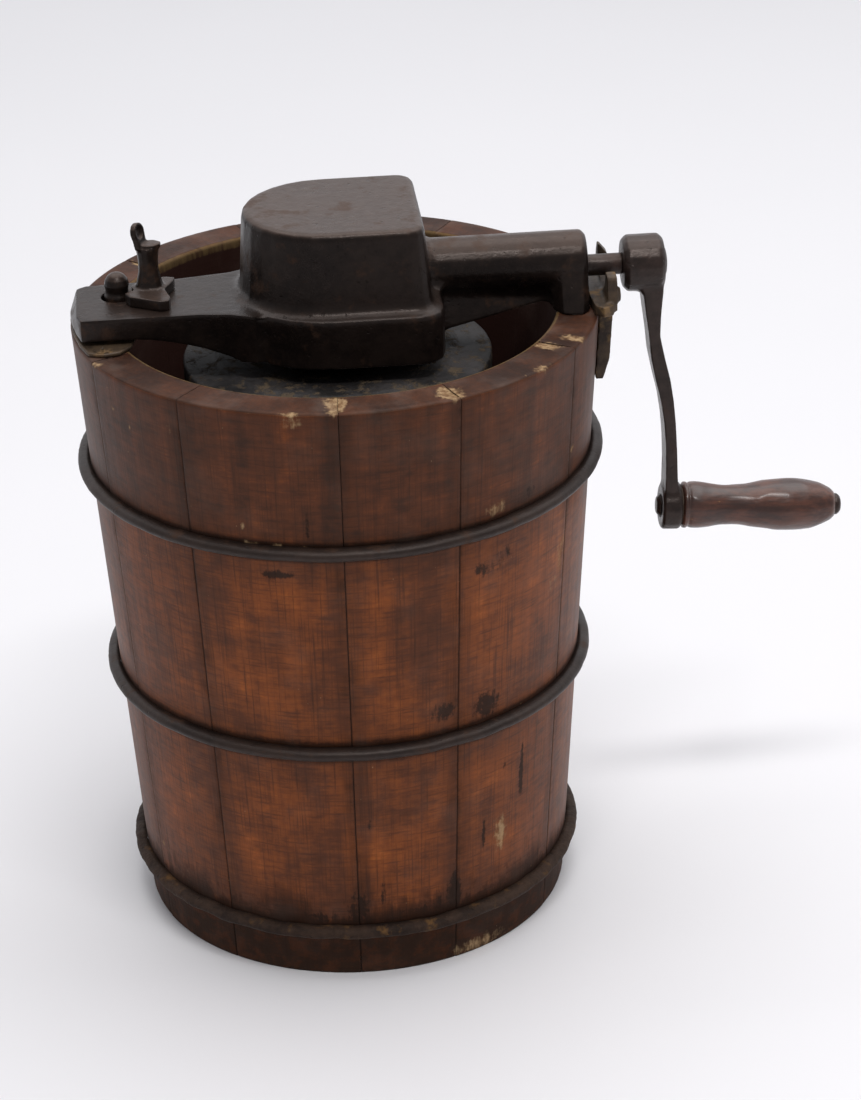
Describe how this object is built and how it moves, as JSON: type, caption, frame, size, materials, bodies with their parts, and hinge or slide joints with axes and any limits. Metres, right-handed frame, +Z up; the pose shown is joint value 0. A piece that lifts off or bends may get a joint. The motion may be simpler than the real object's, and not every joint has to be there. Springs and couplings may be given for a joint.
{
  "type": "hand crank ice cream freezer",
  "caption": "Hand crank ice cream freezer: hooped wooden tub, tinned can, iron gear frame with bevel gears, curved side crank with a turned wooden grip.",
  "frame": {"origin": "on the resting plane, under the middle of the whole object's box; the tub's own axis is 51.5 mm to the left of it", "axes": "+Z up, +X from the tub towards the crank, -Y towards the side seen in the picture"},
  "size_m": [0.3258, 0.2228, 0.3162],
  "materials": {
    "staves": "dark varnished wood with stained seams",
    "boards": "bare wood",
    "hoops": "rusted dark wire",
    "iron": "dark casting with rust-brown corners",
    "gears": "greased casting",
    "crank_iron": "worn dark iron",
    "screws": "dull steel",
    "grip_wood": "dark varnish, worn",
    "tinned": "dull tinned sheet"
  },
  "bodies": {
    "tub": {"stave_01": "staves", "stave_02": "staves", "stave_03": "staves", "stave_04": "staves", "stave_05": "staves", "stave_06": "staves", "stave_07": "staves", "stave_08": "staves", "stave_09": "staves", "stave_10": "staves", "stave_11": "staves", "stave_12": "staves", "bottom_board_1": "boards", "bottom_board_2": "boards", "bottom_board_3": "boards", "hoop_top": "hoops", "hoop_middle": "hoops", "hoop_bottom": "hoops", "keeper": "iron", "ball_stud": "iron", "keeper_screws": "screws", "hinge_yoke": "iron", "yoke_screws": "screws", "step_bearing": "iron", "step_screws": "screws"},
    "frame": {"gear_frame": "iron", "gear_cover": "iron", "cover_screws": "screws"},
    "crank": {"crank_shaft": "crank_iron", "pinion": "gears", "crank": "crank_iron", "grip_pin": "crank_iron", "grip_washer": "crank_iron"},
    "grip": {"grip": "grip_wood"},
    "latch": {"latch": "iron", "latch_washer": "iron"},
    "lower_gear": {"lower_gear": "gears"},
    "upper_gear": {"upper_gear": "gears"},
    "can": {"can": "tinned", "can_pivot": "iron", "can_floor_pin": "iron", "can_lid": "tinned", "lid_boss": "tinned"},
    "dasher": {"dasher_shaft": "tinned", "dasher_frame": "tinned", "scraper_1": "boards", "scraper_2": "boards"}
  },
  "joints": [
    {"name": "frame_lift", "type": "slide", "parent": "tub", "child": "frame", "axis": [0, 0, 1], "range_m": [0, 0.06]},
    {"name": "crank_turn", "type": "hinge", "parent": "frame", "child": "crank", "pos_m": [-0.0515, -0.0065, 0.2835], "axis": [1, 0, 0], "continuous": true},
    {"name": "grip_spin", "type": "hinge", "parent": "crank", "child": "grip", "pos_m": [0.0885, -0.0065, 0.1708], "axis": [0.9981, 0, -0.061], "continuous": true},
    {"name": "latch_swing", "type": "hinge", "parent": "frame", "child": "latch", "pos_m": [-0.1275, -0.0085, 0.282], "axis": [0, 0, 1], "range_deg": [0, 80]},
    {"name": "lower_gear_turn", "type": "hinge", "parent": "frame", "child": "lower_gear", "pos_m": [-0.0515, -0.0065, 0.269], "axis": [0, 0, 1], "continuous": true},
    {"name": "upper_gear_turn", "type": "hinge", "parent": "frame", "child": "upper_gear", "pos_m": [-0.0515, -0.0065, 0.269], "axis": [0, 0, 1], "continuous": true},
    {"name": "can_turn", "type": "hinge", "parent": "tub", "child": "can", "pos_m": [-0.0515, -0.0065, 0.034], "axis": [0, 0, 1], "continuous": true},
    {"name": "dasher_turn", "type": "hinge", "parent": "tub", "child": "dasher", "pos_m": [-0.0515, -0.0065, 0.045], "axis": [0, 0, 1], "continuous": true}
  ],
  "couplings": [
    {"joint": "lower_gear_turn", "follows": "crank_turn", "ratio": 0.5},
    {"joint": "can_turn", "follows": "crank_turn", "ratio": 0.5},
    {"joint": "upper_gear_turn", "follows": "crank_turn", "ratio": -0.5},
    {"joint": "dasher_turn", "follows": "crank_turn", "ratio": -0.5}
  ]
}
